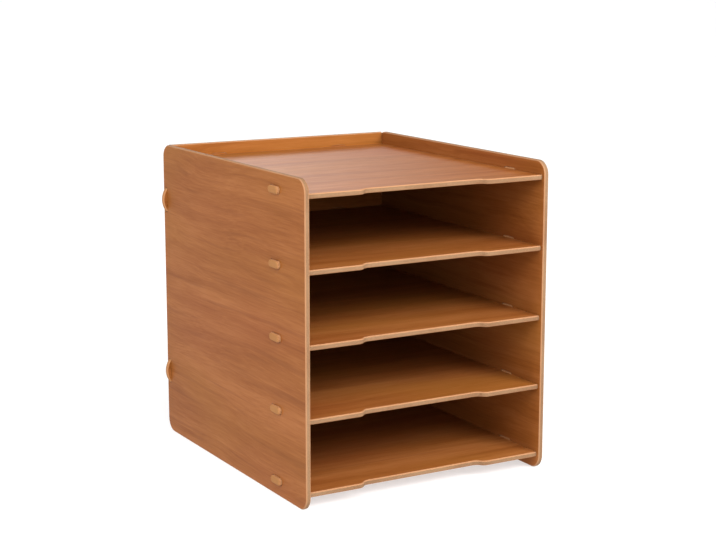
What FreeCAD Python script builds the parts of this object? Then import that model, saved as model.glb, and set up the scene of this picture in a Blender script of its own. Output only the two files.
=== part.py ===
"""Knock-down letter tray stack: two sides, a back board and five shelves of one thickness of board.

The boards hold each other by tongues and tabs in slots. Each shelf has a plump tongue through each side,
near the front, and two more through the back board. The back board has two half-moon tabs through each
side. Lengths are millimetres; X runs across the front, Y from front to rear, Z up. The origin is on the
ground, in the middle of the stack's width and depth.
"""

import FreeCAD, Part
import math
import os

import Sketcher
from FreeCAD import Vector

DIMENSIONS = {
    # boards and overall form
    "board": 5.0,              # thickness of every board
    "width": 276.0,            # across the outer faces of the sides
    "depth": 328.0,            # front to rear edge of the sides
    "corner_round": 14.0,      # radius of the four corners of a side
    "edge_ease": 1.0,          # chamfer on the edges that hands meet
    # shelves
    "shelf_count": 5,          # shelves, the top tray included
    "foot_height": 13.0,       # ground to the underside of the bottom shelf
    "shelf_pitch": 72.0,       # from one shelf to the next
    "rim_height": 14.0,        # sides above the face of the top tray
    "front_setback": 4.0,      # shelf front behind the front edge of the sides
    # shallow recess in the front edge of each shelf
    "recess_length": 136.0,    # between the middles of its two S-shaped ends
    "recess_depth": 6.5,
    "recess_run": 13.0,        # length of one S-shaped end, along the front
    "recess_shift": -2.5,      # middle of the recess from the middle of the shelf
    # tongues of the shelves, level with the middle of the board that carries them
    "tongue_height": 7.5,      # thicker than the board
    "tongue_corner": 3.2,      # radius of the four long corners
    "side_tongue_length": 19.0,
    "side_tongue_place": 61.0,  # middle of the tongue behind the front edge of the side
    "side_tongue_reach": 3.0,   # beyond the outer face of the side
    "rear_tongue_length": 19.0,
    "rear_tongue_spread": 150.0,  # between the middles of the two tongues
    "rear_tongue_reach": 3.0,     # beyond the rear face of the back board
    # back board and its half-moon tabs
    "back_inset": 4.0,         # rear face of the back board ahead of the rear edge of the sides
    "back_lift": 2.0,          # lower edge above the ground
    "back_drop": 0.5,          # upper edge below the top of the sides
    "moon_length": 26.0,       # chord of a half-moon tab, and the width of its neck
    "moon_reach": 4.5,         # beyond the outer face of the side
    "moon_low": 68.5,          # middle of the lower tab above the ground
    "moon_high": 60.0,         # middle of the upper tab below the top of the sides
    # fits
    "seat_gap": 0.2,           # between a board's edge and the face it stands against
    "slot_gap": 0.2,           # under a tongue, and behind a half-moon tab
    "tongue_headroom": 0.3,    # slot above its tongue
    "side_tongue_end_gap": 1.0,  # slot end to each end of a side tongue
    "rear_tongue_end_gap": 0.3,  # slot end to each end of a rear tongue
    "moon_front_gap": 0.7,     # slot ahead of its half-moon tab
    "moon_end_gap": 0.5,       # slot end to each end of its half-moon tab
    "moon_slot_corner": 1.0,   # radius that the cutter leaves in a half-moon tab's slot
}

TINY = 0.01  # tolerance for recognising an edge by its place


# ---- sizes that carry their own expression ----

class Size:
    """A length, and the expression on the sheet that gives it."""

    def __init__(self, value, text):
        self.value = value
        self.text = text

    def joined(self, sign, other, value):
        text = other.text if isinstance(other, Size) else str(other)
        return Size(value, f"({self.text} {sign} {text})")

    def __add__(self, other):
        return self.joined("+", other, self.value + number(other))

    def __sub__(self, other):
        return self.joined("-", other, self.value - number(other))

    def __mul__(self, other):
        return self.joined("*", other, self.value * number(other))

    def __truediv__(self, other):
        return self.joined("/", other, self.value / number(other))

    def __neg__(self):
        return Size(-self.value, f"(-{self.text})")


def number(item):
    return item.value if isinstance(item, Size) else item


def size(name):
    return Size(DIMENSIONS[name], f"Sizes.{name}")


def bind(item, path, length):
    """Give a property its value and the expression that keeps it."""
    item.setExpression(path, length.text)


# ---- shared places, all worked out from the driving dimensions ----

GROUND = Size(0, "0")
MOON_PAIR = Size(2, "2")  # half-moon tabs on each side of the back board

board = size("board")
half_width = size("width") / 2
half_depth = size("depth") / 2
half_inside = half_width - board - size("seat_gap")  # half the length of a board between the sides
shelf_rise = size("shelf_pitch") * (size("shelf_count") - 1)
height = size("foot_height") + shelf_rise + board + size("rim_height")

shelf_front = size("front_setback") - half_depth
back_rear = half_depth - size("back_inset")
shelf_rear = back_rear - board - size("seat_gap")

tongue_rise = (size("tongue_height") - board) / 2  # tongue above the upper face of its shelf
slot_height = size("slot_gap") + size("tongue_height") + size("tongue_headroom")
slot_base = size("foot_height") - tongue_rise - size("slot_gap")  # lower edge of the lowest slots
slot_round = size("tongue_corner") + size("slot_gap")


# ---- document helpers ----

def new_document():
    document = FreeCAD.newDocument("letter_tray_stack")
    sheet = document.addObject("Spreadsheet::Sheet", "Sizes")
    for row, (name, value) in enumerate(DIMENSIONS.items(), 1):
        sheet.set(f"A{row}", name)
        sheet.set(f"B{row}", str(value))
        sheet.setAlias(f"B{row}", name)
    document.recompute()
    return document


def origin_part(body, role):
    return next(item for item in body.Origin.OriginFeatures if item.Role == role)


def new_sketch(body, name, plane):
    sketch = body.newObject("Sketcher::SketchObject", name)
    sketch.AttachmentSupport = [(origin_part(body, plane), "")]
    sketch.MapMode = "FlatFace"
    return sketch


def arc_between(start, end, radius):
    """Arc of less than a half turn, anticlockwise from start to end."""
    chord = end - start
    rise = math.sqrt(max(radius ** 2 - (chord.Length / 2) ** 2, 0.0))
    left = Vector(-chord.y, chord.x, 0).normalize()
    centre = (start + end) / 2 + left * rise
    first = math.atan2(start.y - centre.y, start.x - centre.x)
    last = math.atan2(end.y - centre.y, end.x - centre.x)
    circle = Part.Circle(centre, Vector(0, 0, 1), radius)
    return Part.ArcOfCircle(circle, first, last)


def draw_outline(sketch, corners):
    """Close an outline through the corners, with every length bound to the sheet.

    A corner is (x, y) when a straight run leaves it, or (x, y, radius, turn) when an arc does; turn is
    +1 for an anticlockwise arc and -1 for a clockwise one.
    """
    places = [Vector(corner[0].value, corner[1].value, 0) for corner in corners]
    ends = []
    for index, corner in enumerate(corners):
        here = places[index]
        there = places[(index + 1) % len(places)]
        if len(corner) == 2:
            sketch.addGeometry(Part.LineSegment(here, there), False)
            ends.append((1, 2))
        elif corner[3] > 0:
            sketch.addGeometry(arc_between(here, there, corner[2].value), False)
            ends.append((1, 2))
        else:
            sketch.addGeometry(arc_between(there, here, corner[2].value), False)
            ends.append((2, 1))
    for index in range(len(corners)):
        after = (index + 1) % len(corners)
        sketch.addConstraint(Sketcher.Constraint("Coincident", index, ends[index][1], after, ends[after][0]))
    for index, corner in enumerate(corners):
        for axis, length in zip("XY", corner[:2]):
            rule = Sketcher.Constraint(f"Distance{axis}", -1, 1, index, ends[index][0], length.value)
            bind(sketch, f"Constraints[{sketch.addConstraint(rule)}]", length)
        if len(corner) > 2:
            rule = Sketcher.Constraint("Radius", index, corner[2].value)
            bind(sketch, f"Constraints[{sketch.addConstraint(rule)}]", corner[2])


def rounded(left, bottom, right, top, radius):
    """The corners of a rectangle whose own corners are rounded."""
    return [
        (left + radius, bottom),
        (right - radius, bottom, radius, 1),
        (right, bottom + radius),
        (right, top - radius, radius, 1),
        (right - radius, top),
        (left + radius, top, radius, 1),
        (left, top - radius),
        (left, bottom + radius, radius, 1),
    ]


def add_pad(body, name, plane, corners, length=board, start=None):
    """Raise an outline, by the thickness of the board unless a length is given."""
    sketch = new_sketch(body, f"{name}_sketch", plane)
    draw_outline(sketch, corners)
    if start is not None:
        bind(sketch, "AttachmentOffset.Base.z", start)
    pad = body.newObject("PartDesign::Pad", name)
    pad.Profile = sketch
    bind(pad, "Length", length)
    body.Document.recompute()
    return pad


def add_slot(body, name, plane, corners):
    """Cut an outline through the board, and make sure that it did cut."""
    before = body.Shape.Volume
    sketch = new_sketch(body, f"{name}_sketch", plane)
    draw_outline(sketch, corners)
    slot = body.newObject("PartDesign::Pocket", name)
    slot.Profile = sketch
    slot.Type = "ThroughAll"
    slot.Reversed = True
    body.Document.recompute()
    if slot.Shape.Volume >= before:
        raise RuntimeError(f"{body.Label}: {name} cuts nothing")
    return slot


def add_row(body, name, features, axis, spacing, count):
    """Repeat features upwards at an even spacing."""
    row = body.newObject("PartDesign::LinearPattern", name)
    row.Originals = features
    row.Direction = (origin_part(body, axis), [""])
    row.Mode = "Spacing"
    bind(row, "Offset", spacing)
    bind(row, "Occurrences", count)
    body.Tip = row
    body.Document.recompute()
    return row


def add_mirror(body, name, features):
    """Repeat features on the other side of the body's middle plane."""
    mirror = body.newObject("PartDesign::Mirrored", name)
    mirror.Originals = features
    mirror.MirrorPlane = (origin_part(body, "YZ_Plane"), [""])
    body.Tip = mirror
    body.Document.recompute()
    return mirror


def ease_edges(body, name, wanted):
    """Narrow chamfer on the edges that pass the test, which is given each edge and its middle."""
    before = body.Tip
    names = []
    for index, edge in enumerate(before.Shape.Edges, 1):
        if wanted(edge, edge.valueAt((edge.FirstParameter + edge.LastParameter) / 2)):
            names.append(f"Edge{index}")
    easing = body.newObject("PartDesign::Chamfer", name)
    easing.Base = (before, names)
    bind(easing, "Size", size("edge_ease"))
    body.Document.recompute()
    return easing


def rim(shape):
    """The outer edges of the board's two broad faces."""
    broad = sorted(shape.Faces, key=lambda face: face.Area)[-2:]
    return [edge for face in broad for edge in face.OuterWire.Edges]


# ---- the boards ----

def make_side(document, name, place):
    """A side: rounded corners, a row of slots for the shelves and two slots for the half-moon tabs."""
    body = document.addObject("PartDesign::Body", name)
    add_pad(body, f"{name}_panel", "YZ_Plane", rounded(
        -half_depth, GROUND, half_depth, height, size("corner_round")))

    half_slot = size("side_tongue_length") / 2 + size("side_tongue_end_gap")
    slot_middle = size("side_tongue_place") - half_depth
    tongue_slot = add_slot(body, f"{name}_tongue_slot", "YZ_Plane", rounded(
        slot_middle - half_slot, slot_base, slot_middle + half_slot, slot_base + slot_height, slot_round))
    add_row(body, f"{name}_tongue_slots", [tongue_slot], "Z_Axis", size("shelf_pitch"), size("shelf_count"))

    half_moon = size("moon_length") / 2 + size("moon_end_gap")
    moon_front = back_rear - board - size("moon_front_gap")
    moon_rear = back_rear + size("slot_gap")
    moon_low = size("moon_low")
    moon_rise = height - size("moon_high") - moon_low
    moon_slot = add_slot(body, f"{name}_moon_slot", "YZ_Plane", rounded(
        moon_front, moon_low - half_moon, moon_rear, moon_low + half_moon, size("moon_slot_corner")))
    add_row(body, f"{name}_moon_slots", [moon_slot], "Z_Axis", moon_rise, MOON_PAIR)

    outline = rim(body.Tip.Shape)
    ease_edges(body, f"{name}_eased_edge", lambda edge, middle: any(edge.isSame(other) for other in outline))
    bind(body, "Placement.Base.x", place)
    return body


def make_back(document):
    """The back board: half-moon tabs on both sides and slots for the rear tongues of the shelves."""
    body = document.addObject("PartDesign::Body", "back_board")
    top = height - size("back_drop")
    half_moon = size("moon_length") / 2
    reach = size("moon_reach")
    radius = (half_moon * half_moon + reach * reach) / (reach * 2)
    low = size("moon_low")
    high = height - size("moon_high")
    add_pad(body, "back_panel", "XZ_Plane", [
        (-half_inside, size("back_lift")),
        (half_inside, size("back_lift")),
        (half_inside, low - half_moon),
        (half_width, low - half_moon, radius, 1),
        (half_width, low + half_moon),
        (half_inside, low + half_moon),
        (half_inside, high - half_moon),
        (half_width, high - half_moon, radius, 1),
        (half_width, high + half_moon),
        (half_inside, high + half_moon),
        (half_inside, top),
        (-half_inside, top),
        (-half_inside, high + half_moon),
        (-half_width, high + half_moon, radius, 1),
        (-half_width, high - half_moon),
        (-half_inside, high - half_moon),
        (-half_inside, low + half_moon),
        (-half_width, low + half_moon, radius, 1),
        (-half_width, low - half_moon),
        (-half_inside, low - half_moon),
    ])
    half_slot = size("rear_tongue_length") / 2 + size("rear_tongue_end_gap")
    slots = []
    for hand, side in (("left", -1), ("right", 1)):
        middle = size("rear_tongue_spread") / 2 * side
        slots.append(add_slot(body, f"{hand}_tongue_slot", "XZ_Plane", rounded(
            middle - half_slot, slot_base, middle + half_slot, slot_base + slot_height, slot_round)))
    add_row(body, "tongue_slots", slots, "Z_Axis", size("shelf_pitch"), size("shelf_count"))

    outline = rim(body.Tip.Shape)

    def met_by_hands(edge, middle):
        outside = abs(middle.x) > half_inside.value + TINY or middle.z > top.value - TINY
        return outside and any(edge.isSame(other) for other in outline)

    ease_edges(body, "eased_edge", met_by_hands)
    bind(body, "Placement.Base.y", back_rear)
    return body


def make_shelf(document, name, level):
    """A shelf: a recess with S-shaped ends in its front edge, a tongue on each side and two at the rear."""
    body = document.addObject("PartDesign::Body", name)
    depth = size("recess_depth")
    half_run = size("recess_run") / 2
    bend = (half_run * half_run + depth * depth / 4) / depth  # radius of both bends of an S
    floor = shelf_front + depth
    left = size("recess_shift") - size("recess_length") / 2
    right = size("recess_shift") + size("recess_length") / 2
    add_pad(body, f"{name}_panel", "XY_Plane", [
        (-half_inside, shelf_front),
        (left - half_run, shelf_front, bend, 1),
        (left, shelf_front + depth / 2, bend, -1),
        (left + half_run, floor),
        (right - half_run, floor, bend, -1),
        (right, shelf_front + depth / 2, bend, 1),
        (right + half_run, shelf_front),
        (half_inside, shelf_front),
        (half_inside, shelf_rear),
        (-half_inside, shelf_rear),
    ])

    under = -tongue_rise
    over = board + tongue_rise
    half_side = size("side_tongue_length") / 2
    side_middle = size("side_tongue_place") - half_depth
    side_tip = half_width + size("side_tongue_reach")
    side_tongue = add_pad(body, f"{name}_side_tongue", "YZ_Plane", rounded(
        side_middle - half_side, under, side_middle + half_side, over, size("tongue_corner")),
        side_tip - half_inside, -side_tip)

    half_rear = size("rear_tongue_length") / 2
    rear_middle = -size("rear_tongue_spread") / 2
    rear_tip = back_rear + size("rear_tongue_reach")
    rear_tongue = add_pad(body, f"{name}_rear_tongue", "XZ_Plane", rounded(
        rear_middle - half_rear, under, rear_middle + half_rear, over, size("tongue_corner")),
        rear_tip - shelf_rear, -rear_tip)
    add_mirror(body, f"{name}_right_tongues", [side_tongue, rear_tongue])

    def met_by_hands(edge, middle):
        on_face = abs(middle.z) < TINY or abs(middle.z - board.value) < TINY
        at_front = middle.y < floor.value + TINY and abs(middle.x) < half_inside.value - TINY
        at_tip = abs(middle.x) > side_tip.value - TINY or middle.y > rear_tip.value - TINY
        return on_face and at_front or at_tip

    ease_edges(body, f"{name}_eased_edge", met_by_hands)
    bind(body, "Placement.Base.z", size("foot_height") + size("shelf_pitch") * level)
    return body


def shelf_name(level, count):
    if level == 0:
        return "bottom_shelf"
    if level == count - 1:
        return "top_tray"
    return f"shelf_{level + 1}"


# ---- build, check and write ----

def check(document):
    """Stop if any object of the document failed or any board isn't one sound solid."""
    for item in document.Objects:
        if "Invalid" in item.State or "Error" in item.State:
            raise RuntimeError(f"{item.Label} failed: {item.State}")
    for body in document.findObjects("PartDesign::Body"):
        if body.Shape.isNull() or not body.Shape.isValid() or len(body.Shape.Solids) != 1:
            raise RuntimeError(f"{body.Label} is not one sound solid")


def main():
    document = new_document()
    make_side(document, "left_side", -half_width)
    make_side(document, "right_side", half_width - board)
    make_back(document)
    count = DIMENSIONS["shelf_count"]
    for level in range(count):
        make_shelf(document, shelf_name(level, count), level)
    document.recompute()
    check(document)
    os.makedirs("parts", exist_ok=True)
    for body in document.findObjects("PartDesign::Body"):
        body.Shape.exportStep(f"parts/{body.Label}.step")


main()
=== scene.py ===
"""Letter tray stack of slotted boards: surfaces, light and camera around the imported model.

Two sides, a back board and five shelves of 5 mm fibreboard, faced with a wood-grain film and held
together by tongues and tabs in slots. Lengths are metres unless a name says otherwise.
"""

import math

import bmesh
import bpy
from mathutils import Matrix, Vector


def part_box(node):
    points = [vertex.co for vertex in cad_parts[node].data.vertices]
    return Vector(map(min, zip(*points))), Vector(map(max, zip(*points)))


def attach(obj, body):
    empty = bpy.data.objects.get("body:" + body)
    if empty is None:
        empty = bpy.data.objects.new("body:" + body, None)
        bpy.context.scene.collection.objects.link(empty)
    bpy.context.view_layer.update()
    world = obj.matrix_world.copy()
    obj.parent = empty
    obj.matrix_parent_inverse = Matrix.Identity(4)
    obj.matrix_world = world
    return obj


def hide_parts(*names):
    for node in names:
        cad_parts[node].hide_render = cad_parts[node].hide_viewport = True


MM = 0.001
X, Y, Z = 0, 1, 2
BODY = "root"
SHELVES = ("bottom_shelf", "shelf_2", "shelf_3", "shelf_4", "top_tray")


# ---- nodes ----

# A Mix node repeats its sockets' names for each kind of data, so its colours go by place.
MIX_A = 6
MIX_B = 7
MIX_RESULT = 2


def linear(colour):
    """sRGB hex to linear RGBA."""
    channels = [int(colour[place:place + 2], 16) / 255 for place in (1, 3, 5)]
    return tuple(c / 12.92 if c <= 0.04045 else ((c + 0.055) / 1.055) ** 2.4 for c in channels) + (1.0,)


def add(tree, kind, inputs=(), stops=(), **settings):
    """Add a node.

    inputs are values or other nodes' outputs, in the order of the sockets or by a socket's name or place.
    stops are a colour ramp's places and hex colours, and take the place of its own two.
    """
    node = tree.nodes.new(kind)
    for name, value in settings.items():
        setattr(node, name, value)
    for place, value in inputs.items() if isinstance(inputs, dict) else enumerate(inputs):
        if isinstance(value, bpy.types.NodeSocket):
            tree.links.new(value, node.inputs[place])
        else:
            node.inputs[place].default_value = value
    for place, colour in stops:
        node.color_ramp.elements.new(place).color = linear(colour)
    if stops:
        node.color_ramp.elements.remove(node.color_ramp.elements[0])
        node.color_ramp.elements.remove(node.color_ramp.elements[-1])
    return node


def tinted(tree, colour, measure, limits, tint):
    """Mix a tint into a colour as a measure goes through its limits.

    limits are from and to in the measure, and the tint's share at each of the two.
    """
    share = add(tree, "ShaderNodeMapRange", (measure, *limits)).outputs["Result"]
    return add(tree, "ShaderNodeMix", {0: share, MIX_A: colour, MIX_B: linear(tint)},
               data_type="RGBA").outputs[MIX_RESULT]


def new_material(name):
    material = bpy.data.materials.new(name)
    material.use_nodes = True
    material.node_tree.nodes.clear()
    return material, material.node_tree


# ---- finishes ----

# Numbers that a board's mesh keeps for its finishes. The slant is 0 on the flat of an edge and rises
# towards 1 as the edge turns over to the film. On a tongue it is 0 on the flat of its end, 1 on its sides
# and 2 on its shoulders.
NUMBER = "board_number"  # which board of the set a surface belongs to
CUT_EDGE = "cut_edge"    # 1 where the board's core is cut open, 0 where the film lies
STAIN = "edge_stain"     # 1 on tongues, and on half-moon tabs where they stand out of the sides
# also sets how much painted highlight an edge or tongue gets
SLANT = "edge_slant"

HALF = 0.5  # also the middle of a noise

# Wood-grain film: printed paper under a clear melamine coat with a silky sheen, pressed onto the
# fibreboard by a plate that carries fine pores. The print gives broad soft bands and thin, slightly wavy
# reddish-brown growth lines that run the length of the sheet, with golden and reddish patches here and
# there. The fibres and pores make the coat slightly uneven, which breaks its sheen into short dashes
# along the grain when the light is low.
FILM_LINE = "#6B3714"
FILM_DARK = "#784016"
FILM_MID = "#8B5226"
FILM_LIGHT = "#9D6235"
FILM_GOLD = "#966225"
FILM_RED = "#854525"
FILM_STOPS = ((0.32, FILM_DARK), (0.49, FILM_MID), (0.66, FILM_LIGHT))

# the parts of the grain: length along it and width across it
BAND_MM = (520, 24)
GROWTH_MM = (200, 12)
LINE_MM = (280, 5)
FIBRE_MM = (36, 1.3)
PORE_MM = (9, 0.45)      # wider than a pore, so that it shows
PATCH_MM = (260, 90)
SWAY_RUN_MM = (230, 90)
SWAY_MM = 12             # how far the grain wanders to each side

# how many finer layers a pattern has, and how strong they are
PLAIN = 1.0
SOFT = 2.0
FULL = 3.0
RICH = 4.0
WEAK_LAYERS = 0.5
STRONG_LAYERS = 0.6

# what each part adds to the tone; together 1
BAND_SHARE = 0.36
GROWTH_SHARE = 0.38
FIBRE_SHARE = 0.26

# from and to in a part of the grain, and the share of a colour, or the roughness, at each of the two
LINE_LIMITS = (0.54, 0.70, 0.0, 0.34)
GOLD_LIMITS = (0.52, 0.72, 0.0, 0.3)
RED_LIMITS = (0.46, 0.28, 0.0, 0.35)
PORE_LIMITS = (0.30, 0.22, 0.0, 0.35)
FILM_ROUGHNESS = (0.3, 0.7, 0.36, 0.28)

PORE_DEPTH = 1.5         # against the height of a fibre
FILM_RELIEF = 0.04 * MM  # height of a fibre in the pressed coat
BUMP_STRENGTH = 0.2
FILM_GLOSS = 0.045       # specular level, far below a plain coat's 0.5, so that only low light shines

ROLL_STEP = (0.71, 0.93, 0.57)  # from one board's place on the printed roll to the next one's
LINE_OFFSET = (3.1, 2.7, 1.9)   # takes the growth lines from another place than the bands


def film_material(name, along):
    """Film whose grain runs along one axis of the object, X or Y."""
    material, tree = new_material(name)
    here = add(tree, "ShaderNodeTexCoord").outputs["Object"]
    number = add(tree, "ShaderNodeAttribute", attribute_name=NUMBER).outputs["Fac"]
    # each board is cut from another place on the roll
    shift = add(tree, "ShaderNodeVectorMath", {0: ROLL_STEP, "Scale": number}, operation="SCALE")
    place = add(tree, "ShaderNodeVectorMath", (here, shift.outputs[0]), operation="ADD").outputs[0]

    def grain(at, size_mm, layers, strength=WEAK_LAYERS):
        """One part of the grain, stretched along it to its own length and width."""
        length, width = size_mm
        stretch = [1 / (width * MM)] * 3
        stretch[along] = 1 / (length * MM)
        stretched = add(tree, "ShaderNodeVectorMath", (at, stretch), operation="MULTIPLY").outputs[0]
        return add(tree, "ShaderNodeTexNoise", {
            "Vector": stretched, "Scale": 1.0, "Detail": layers, "Roughness": strength}).outputs["Fac"]

    # a noise strays about a half to each side of its middle, so twice the sway goes in
    across = [SWAY_MM * 2 * MM] * 3
    across[along] = 0.0
    stray = add(tree, "ShaderNodeMath", (grain(place, SWAY_RUN_MM, SOFT), HALF), operation="SUBTRACT")
    sway = add(tree, "ShaderNodeVectorMath", {0: across, "Scale": stray.outputs[0]}, operation="SCALE")
    bent = add(tree, "ShaderNodeVectorMath", (place, sway.outputs[0]), operation="ADD").outputs[0]
    moved = add(tree, "ShaderNodeVectorMath", (bent, LINE_OFFSET), operation="ADD").outputs[0]

    band = grain(bent, BAND_MM, SOFT)
    growth = grain(bent, GROWTH_MM, RICH, STRONG_LAYERS)
    line = grain(moved, LINE_MM, SOFT)
    fibre = grain(bent, FIBRE_MM, SOFT, STRONG_LAYERS)
    pore = grain(bent, PORE_MM, PLAIN)
    patch = grain(place, PATCH_MM, PLAIN)

    tone = add(tree, "ShaderNodeMath", (band, BAND_SHARE), operation="MULTIPLY").outputs[0]
    for part, share in ((growth, GROWTH_SHARE), (fibre, FIBRE_SHARE)):
        tone = add(tree, "ShaderNodeMath", (part, share, tone), operation="MULTIPLY_ADD").outputs[0]
    colour = add(tree, "ShaderNodeValToRGB", (tone,), FILM_STOPS).outputs["Color"]
    colour = tinted(tree, colour, line, LINE_LIMITS, FILM_LINE)
    colour = tinted(tree, colour, patch, GOLD_LIMITS, FILM_GOLD)
    colour = tinted(tree, colour, patch, RED_LIMITS, FILM_RED)
    pores = add(tree, "ShaderNodeMapRange", (pore, *PORE_LIMITS)).outputs["Result"]
    colour = add(tree, "ShaderNodeMix", {0: pores, MIX_A: colour, MIX_B: linear(FILM_DARK)},
                 data_type="RGBA").outputs[MIX_RESULT]

    height = add(tree, "ShaderNodeMath", (pores, -PORE_DEPTH, fibre), operation="MULTIPLY_ADD").outputs[0]
    bump = add(tree, "ShaderNodeBump", {
        "Height": height, "Strength": BUMP_STRENGTH, "Distance": FILM_RELIEF}).outputs[0]
    rough = add(tree, "ShaderNodeMapRange", (fibre, *FILM_ROUGHNESS)).outputs["Result"]
    surface = add(tree, "ShaderNodeBsdfPrincipled", {
        "Base Color": colour, "Roughness": rough, "Normal": bump, "Specular IOR Level": FILM_GLOSS})
    add(tree, "ShaderNodeOutputMaterial", {"Surface": surface.outputs[0]})
    return material


# Fibreboard edge: pressed wood fibre, sawn, sanded and sealed with a thin clear lacquer that leaves hardly
# any gloss. The core is paler and greyer than the film and speckled by its fibres. The slanting arrises
# are lightened by a painted highlight, palest where they turn towards the film, so that an edge reads as
# two light lines with a browner one between them. The tongues, and the half-moon tabs where they stand out
# of the sides, are stained a warm orange-brown, a little lighter than the film around them, and the same
# painted highlight lies pale over the tongues' rounded rims, sides and shoulders.
EDGE_LIGHT = "#83664C"
EDGE_DARK = "#73543C"
# colour of the painted highlight on the arrises and on the tongues' rims, sides and shoulders
PAINTED_HIGHLIGHT = "#B8845E"
STAIN_COLOUR = "#A27043"
EDGE_STOPS = ((0.38, EDGE_DARK), (0.58, EDGE_LIGHT))
# from and to in the stain or the slant, and the share of the colour at each of the two
STAIN_LIMITS = (0.0, 1.0, 0.0, 0.85)
# the slant's share is the painted highlight
PAINTED_HIGHLIGHT_LIMITS = (0.3, 0.8, 0.0, 0.6)
SPECK_MM = 0.9           # coarser than a fibre, so that it shows
CLOUD_MM = 45            # slow change of tone along an edge
EDGE_ROUGHNESS = 0.5
EDGE_GLOSS = 0.015       # specular level: shines only where the light is very low
EDGE_RELIEF = 0.05 * MM  # height of a speck


def edge_material(name):
    material, tree = new_material(name)
    here = add(tree, "ShaderNodeTexCoord").outputs["Object"]
    slant = add(tree, "ShaderNodeAttribute", attribute_name=SLANT).outputs["Fac"]
    stain = add(tree, "ShaderNodeAttribute", attribute_name=STAIN).outputs["Fac"]
    speck = add(tree, "ShaderNodeTexNoise", {
        "Vector": here, "Scale": 1 / (SPECK_MM * MM), "Detail": SOFT,
        "Roughness": STRONG_LAYERS}).outputs["Fac"]
    cloud = add(tree, "ShaderNodeTexNoise", {
        "Vector": here, "Scale": 1 / (CLOUD_MM * MM), "Detail": FULL}).outputs["Fac"]
    tone = add(tree, "ShaderNodeMath", (speck, HALF), operation="MULTIPLY").outputs[0]
    tone = add(tree, "ShaderNodeMath", (cloud, HALF, tone), operation="MULTIPLY_ADD").outputs[0]
    colour = add(tree, "ShaderNodeValToRGB", (tone,), EDGE_STOPS).outputs["Color"]
    colour = tinted(tree, colour, stain, STAIN_LIMITS, STAIN_COLOUR)
    # painted highlight on the arrises and on the tongues' rims, sides and shoulders, set by the slant
    colour = tinted(tree, colour, slant, PAINTED_HIGHLIGHT_LIMITS, PAINTED_HIGHLIGHT)
    bump = add(tree, "ShaderNodeBump", {
        "Height": speck, "Strength": BUMP_STRENGTH, "Distance": EDGE_RELIEF}).outputs[0]
    surface = add(tree, "ShaderNodeBsdfPrincipled", {
        "Base Color": colour, "Roughness": EDGE_ROUGHNESS, "Normal": bump,
        "Specular IOR Level": EDGE_GLOSS})
    add(tree, "ShaderNodeOutputMaterial", {"Surface": surface.outputs[0]})
    return material


# ---- boards ----

SAME_POINT = 0.004 * MM            # corners closer than this are one corner
FLAT_ANGLE = math.radians(0.4)     # faces that turn by less are one flat
SHARP_ANGLE = math.radians(30)     # faces that turn by more meet in a sharp edge
ARRIS_ROUND = 0.32 * MM            # rounding that sanding leaves where two faces meet
ARRIS_STEPS = 2
TONGUE_ROUND = 0.66 * MM           # rounding of the tongues' outer ends
TONGUE_STEPS = 3
QUARTER_CIRCLE = 0.5               # the bevel tool's number for a round profile
SLIVER = 0.001 * MM                # edges shorter than this are closed up after the rounding
FACE_LIMIT = 0.98                  # how squarely a polygon faces out to belong to a broad face
MOST_CORNERS = 4                   # a polygon with more becomes triangles
TOUCH = 0.05 * MM                  # how far past the outside of the boards a tongue or tab counts as out
SEAT = 0.3 * MM                    # the most that a shelf's own edges stay short of the boards around it


def face_values(mesh, name, values):
    """Keep one number for each face of a mesh."""
    layer = mesh.attributes.new(name, "FLOAT", "FACE")
    layer.data.foreach_set("value", [float(value) for value in values])


def outward(point, side, back):
    """The way out of the stack at a point past the planes given for the sides and the back, or None."""
    if abs(point.x) > side:
        return Vector((math.copysign(1.0, point.x), 0.0, 0.0))
    if point.y > back:
        return Vector((0.0, 1.0, 0.0))
    return None


def round_over(work, chosen, radius, steps):
    """Round the sharp edges of a mesh that the test picks."""
    sharp = [edge for edge in work.edges
             if edge.is_manifold and edge.calc_face_angle() > SHARP_ANGLE and chosen(edge)]
    bmesh.ops.bevel(work, geom=sharp, offset=radius, offset_type="OFFSET", segments=steps,
                    profile=QUARTER_CIRCLE, affect="EDGES", clamp_overlap=True)


def stands_out(edge):
    return all(outward(vert.co, *outer_planes) is not None for vert in edge.verts)


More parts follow.
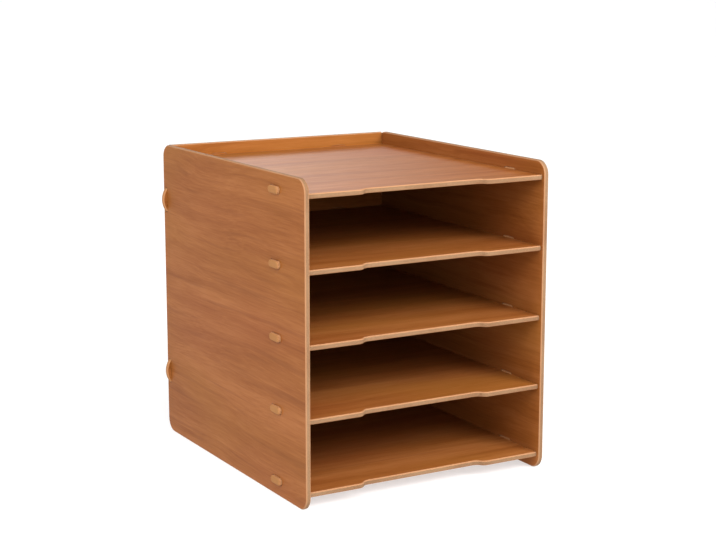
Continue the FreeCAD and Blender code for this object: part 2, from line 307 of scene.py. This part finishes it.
def board_mesh(node, through):
    """A board's mesh from its node: corners merged, flats joined, arrises rounded, edges told from faces.

    through is the axis of the board's thickness.
    """
    is_shelf = node in SHELVES
    work = bmesh.new()
    work.from_mesh(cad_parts[node].data)
    for layer in list(work.loops.layers.uv):
        work.loops.layers.uv.remove(layer)
    bmesh.ops.remove_doubles(work, verts=work.verts, dist=SAME_POINT)
    bmesh.ops.dissolve_limit(work, angle_limit=FLAT_ANGLE, verts=work.verts, edges=work.edges)
    if is_shelf:
        round_over(work, stands_out, TONGUE_ROUND, TONGUE_STEPS)
    round_over(work, lambda edge: True, ARRIS_ROUND, ARRIS_STEPS)
    bmesh.ops.dissolve_degenerate(work, dist=SLIVER, edges=work.edges)
    bmesh.ops.triangulate(work, faces=[face for face in work.faces if len(face.verts) > MOST_CORNERS])
    mesh = bpy.data.meshes.new(node)
    work.to_mesh(mesh)
    work.free()
    mesh.materials.clear()
    slants, stains, cuts = [], [], []
    for face in mesh.polygons:
        way_out = outward(face.center, *(inner_planes if is_shelf else outer_planes))
        on_tongue = is_shelf and way_out is not None
        on_edge = abs(face.normal[through]) < FACE_LIMIT
        # the film of a shelf runs up over the low shoulders of its rear tongues
        on_rear_shoulder = on_tongue and way_out.y > 0 and face.normal.dot(way_out) < 0
        # the slant sets where the edge finish paints its highlight
        slants.append(1 - face.normal.dot(way_out) if on_tongue else abs(face.normal[through]))
        stains.append(on_tongue or (on_edge and way_out is not None))
        cuts.append((on_tongue or on_edge) and not on_rear_shoulder)
    face_values(mesh, SLANT, slants)
    face_values(mesh, STAIN, stains)
    face_values(mesh, CUT_EDGE, cuts)
    mesh.shade_smooth()
    mesh.set_sharp_from_angle(angle=SHARP_ANGLE)
    return mesh


def stacking_tree():
    """Repeat one board upwards, number the copies, make them one mesh and give it its two finishes."""
    tree = bpy.data.node_groups.new("stack_upwards", "GeometryNodeTree")
    tree.is_modifier = True
    sockets = tree.interface
    sockets.new_socket("Board", in_out="INPUT", socket_type="NodeSocketGeometry")
    sockets.new_socket("Count", in_out="INPUT", socket_type="NodeSocketInt")
    sockets.new_socket("Pitch", in_out="INPUT", socket_type="NodeSocketFloat")
    sockets.new_socket("First number", in_out="INPUT", socket_type="NodeSocketInt")
    sockets.new_socket("Film", in_out="INPUT", socket_type="NodeSocketMaterial")
    sockets.new_socket("Edge", in_out="INPUT", socket_type="NodeSocketMaterial")
    sockets.new_socket("Boards", in_out="OUTPUT", socket_type="NodeSocketGeometry")
    given = add(tree, "NodeGroupInput").outputs
    step = add(tree, "ShaderNodeCombineXYZ", {"Z": given["Pitch"]}).outputs[0]
    places = add(tree, "GeometryNodeMeshLine", {"Count": given["Count"], "Offset": step}).outputs[0]
    copies = add(tree, "GeometryNodeInstanceOnPoints", {
        "Points": places, "Instance": given["Board"]}).outputs["Instances"]
    index = add(tree, "GeometryNodeInputIndex").outputs[0]
    number = add(tree, "ShaderNodeMath", (index, given["First number"]), operation="ADD").outputs[0]
    numbered = add(tree, "GeometryNodeStoreNamedAttribute", {
        "Geometry": copies, "Name": NUMBER, "Value": number},
        data_type="FLOAT", domain="INSTANCE").outputs[0]
    real = add(tree, "GeometryNodeRealizeInstances", {"Geometry": numbered}).outputs[0]
    faced = add(tree, "GeometryNodeSetMaterial", {"Geometry": real, "Material": given["Film"]}).outputs[0]
    cut = add(tree, "GeometryNodeInputNamedAttribute", {"Name": CUT_EDGE}, data_type="FLOAT").outputs[0]
    is_cut = add(tree, "ShaderNodeMath", (cut, HALF), operation="GREATER_THAN").outputs[0]
    edged = add(tree, "GeometryNodeSetMaterial", {
        "Geometry": faced, "Selection": is_cut, "Material": given["Edge"]}).outputs[0]
    add(tree, "NodeGroupOutput", {"Boards": edged})
    return tree


def make_piece(name, nodes, film, through, number, pitch=0.0):
    """A finished piece that stands for its nodes: one board, or a stack of equal boards a pitch apart.

    number is the first board's place in the set.
    """
    piece = bpy.data.objects.new(name, board_mesh(nodes[0], through))
    bpy.context.scene.collection.objects.link(piece)
    stacked = piece.modifiers.new("stacked", "NODES")
    stacked.node_group = stacking
    values = {
        "Count": len(nodes), "Pitch": pitch, "First number": number, "Film": film, "Edge": edge_finish}
    for socket in stacking.interface.items_tree:
        if socket.name in values:
            stacked[socket.identifier] = values[socket.name]
    weighted = piece.modifiers.new("flats lead", "WEIGHTED_NORMAL")
    weighted.keep_sharp = True
    weighted.mode = "FACE_AREA"
    evaluated = piece.evaluated_get(bpy.context.evaluated_depsgraph_get())
    mesh = bpy.data.meshes.new_from_object(evaluated)
    piece.modifiers.clear()
    piece.data = mesh
    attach(piece, BODY)
    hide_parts(*nodes)


# ---- camera ----

EYE = Vector((-0.8381, -1.4851, 0.5248))
EYE_TURN = 0.520     # to the right of straight ahead, radians
EYE_DIP = 0.191      # below the horizon, radians
FOCAL = 1646.1       # in pixels of a picture 716 wide
PICTURE_WIDTH = 716
SENSOR_MM = 36.0
NEAREST = 0.05       # the camera sees nothing closer
FARTHEST = 100       # and nothing farther


def make_camera():
    camera = bpy.data.cameras.new("camera")
    camera.sensor_width = SENSOR_MM
    camera.lens = FOCAL * SENSOR_MM / PICTURE_WIDTH
    camera.clip_start = NEAREST
    camera.clip_end = FARTHEST
    holder = bpy.data.objects.new("camera", camera)
    level = math.cos(EYE_DIP)
    ahead = Vector((math.sin(EYE_TURN) * level, math.cos(EYE_TURN) * level, -math.sin(EYE_DIP)))
    holder.location = EYE
    holder.rotation_euler = ahead.to_track_quat("-Z", "Y").to_euler()
    bpy.context.scene.collection.objects.link(holder)
    bpy.context.scene.camera = holder


# ---- light and floor ----

LAMPS = (  # name, place, what it points at, width and height, watts
    ("key", (-0.35, -1.0, 1.05), (0, 0, 0.25), (0.7, 0.6), 10),
    ("fill", (0.9, -2.4, 1.6), (0, 0, 0.15), (1.2, 1.0), 66),
    ("side", (-1.6, -0.4, 1.9), (0, 0, 0.3), (0.5, 0.5), 12),
)


def make_lamp(name, place, target, size, power):
    lamp = bpy.data.lights.new(name, "AREA")
    lamp.shape = "RECTANGLE"
    lamp.size, lamp.size_y = size
    lamp.energy = power
    holder = bpy.data.objects.new(name, lamp)
    holder.location = place
    holder.rotation_euler = (Vector(target) - Vector(place)).to_track_quat("-Z", "Y").to_euler()
    bpy.context.scene.collection.objects.link(holder)


# Opal sheet: cast acrylic, frosted on its upper face and lit from below. The frosting scatters the light,
# so the sheet reads as an even white that mirrors next to nothing and takes only soft shadows.
WHITE = "#FFFFFF"
FLOOR_GREY = "#B4B4B4"
FLOOR_HALF = 30.0        # far enough for the floor to fill the picture
FLOOR_GLOW = 0.6         # light that comes through the sheet
FLOOR_GLOSS = 0.1        # specular level
TOOTH_MM = 2.5           # coarser than the frosting, which is too fine to show
FLOOR_ROUGHNESS = (0.3, 0.7, 0.8, 0.9)  # from and to in the tooth, and the roughness at each of the two


def make_floor():
    material, tree = new_material("opal_sheet")
    here = add(tree, "ShaderNodeTexCoord").outputs["Object"]
    tooth = add(tree, "ShaderNodeTexNoise", {
        "Vector": here, "Scale": 1 / (TOOTH_MM * MM), "Detail": SOFT}).outputs["Fac"]
    rough = add(tree, "ShaderNodeMapRange", (tooth, *FLOOR_ROUGHNESS)).outputs["Result"]
    surface = add(tree, "ShaderNodeBsdfPrincipled", {
        "Base Color": linear(FLOOR_GREY), "Roughness": rough, "Specular IOR Level": FLOOR_GLOSS,
        "Emission Color": linear(WHITE), "Emission Strength": FLOOR_GLOW})
    add(tree, "ShaderNodeOutputMaterial", {"Surface": surface.outputs[0]})
    mesh = bpy.data.meshes.new("floor")
    corners = [(-1, -1), (1, -1), (1, 1), (-1, 1)]
    mesh.from_pydata([(x * FLOOR_HALF, y * FLOOR_HALF, 0) for x, y in corners], [], [(0, 1, 2, 3)])
    mesh.materials.append(material)
    floor = bpy.data.objects.new("floor", mesh)
    bpy.context.scene.collection.objects.link(floor)


# A turn is measured to the right of straight back, and a rise above the horizon.
ROOM_LIGHT = 1.03               # of a wall halfway between the brightest and the darkest
FRONT_LEAN = 0.85               # how much brighter than that the brightest wall is
FRONT_TURN = math.radians(200)  # where it is: nearly straight in front
CEILING_LIMITS = (0.3, 1.0, 1.0, 0.65)  # height from and to, 1 overhead, and the share of light at each
DIM_SHARE = 0.1                 # share of light that the dim corner keeps
DIM_TURN = math.radians(66)
DIM_RISE = math.radians(12)
DIM_OUTER = math.radians(34)    # how far from its middle the corner starts
DIM_INNER = math.radians(28)    # and how far from it the corner is at its darkest
PANEL_LIGHT = 3.7               # what the bright panel adds to the room's light
PANEL_TURN = math.radians(19)
PANEL_RISE = math.radians(23)
PANEL_OUTER = math.radians(15)  # how far from its middle the panel ends
PANEL_INNER = math.radians(12)  # and how far from it the panel has all its light


def make_surroundings():
    """A white room around the stack, which the boards' sheen mirrors.

    Its light grows towards the front and falls off towards the ceiling. Behind the stack hangs a bright
    panel, and to the right of the panel is a dim corner, where the sheen ends.
    """
    world = bpy.data.worlds.new("studio")
    world.use_nodes = True
    tree = world.node_tree
    tree.nodes.clear()
    direction = add(tree, "ShaderNodeTexCoord").outputs["Generated"]

    def nearness(turn, rise):
        """1 towards a place in the room, 0 square to it and -1 away from it."""
        middle = Vector((math.sin(turn), math.cos(turn), math.tan(rise))).normalized()
        compared = add(tree, "ShaderNodeVectorMath", (direction, middle), operation="DOT_PRODUCT")
        return compared.outputs["Value"]

    front = nearness(FRONT_TURN, 0.0)
    lean = add(tree, "ShaderNodeMath", (front, ROOM_LIGHT * FRONT_LEAN, ROOM_LIGHT),
               operation="MULTIPLY_ADD").outputs[0]
    height = add(tree, "ShaderNodeSeparateXYZ", {"Vector": direction}).outputs["Z"]
    ceiling = add(tree, "ShaderNodeMapRange", (height, *CEILING_LIMITS)).outputs["Result"]
    walls = add(tree, "ShaderNodeMath", (lean, ceiling), operation="MULTIPLY").outputs[0]
    dimmed = add(tree, "ShaderNodeMapRange", (
        nearness(DIM_TURN, DIM_RISE), math.cos(DIM_OUTER), math.cos(DIM_INNER),
        1.0, DIM_SHARE)).outputs["Result"]
    room = add(tree, "ShaderNodeMath", (walls, dimmed), operation="MULTIPLY").outputs[0]
    panel = add(tree, "ShaderNodeMapRange", (
        nearness(PANEL_TURN, PANEL_RISE), math.cos(PANEL_OUTER), math.cos(PANEL_INNER),
        0.0, PANEL_LIGHT)).outputs["Result"]
    bright = add(tree, "ShaderNodeMath", (room, panel), operation="ADD").outputs[0]
    sky = add(tree, "ShaderNodeBackground", {"Color": linear(WHITE), "Strength": bright})
    add(tree, "ShaderNodeOutputWorld", {"Surface": sky.outputs[0]})
    bpy.context.scene.world = world
    bpy.context.scene.view_settings.view_transform = "Standard"


# ---- the stack ----

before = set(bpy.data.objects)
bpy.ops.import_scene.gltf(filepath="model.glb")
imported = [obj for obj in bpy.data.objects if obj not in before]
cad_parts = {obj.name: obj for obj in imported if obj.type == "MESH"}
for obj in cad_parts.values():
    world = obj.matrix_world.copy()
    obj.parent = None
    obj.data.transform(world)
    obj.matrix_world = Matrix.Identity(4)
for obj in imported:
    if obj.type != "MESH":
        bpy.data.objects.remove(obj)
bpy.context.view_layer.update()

make_camera()
make_surroundings()
make_floor()
for lamp in LAMPS:
    make_lamp(*lamp)

film_deep = film_material("wood_film_along_depth", Y)
film_wide = film_material("wood_film_along_width", X)
edge_finish = edge_material("sealed_fibreboard_edge")
stacking = stacking_tree()

shelf_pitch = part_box("shelf_2")[0][Z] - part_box("bottom_shelf")[0][Z]
(side_inner, _, _), (side_outer, _, _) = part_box("right_side")
(_, back_inner, _), (_, back_outer, _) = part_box("back_board")
inner_planes = (side_inner - SEAT, back_inner - SEAT)
outer_planes = (side_outer + TOUCH, back_outer + TOUCH)
make_piece("left_side_board", ["left_side"], film_deep, through=X, number=1)
make_piece("right_side_board", ["right_side"], film_deep, through=X, number=2)
make_piece("back_panel", ["back_board"], film_wide, through=Y, number=3)
make_piece("shelves", SHELVES, film_wide, through=Z, number=4, pitch=shelf_pitch)
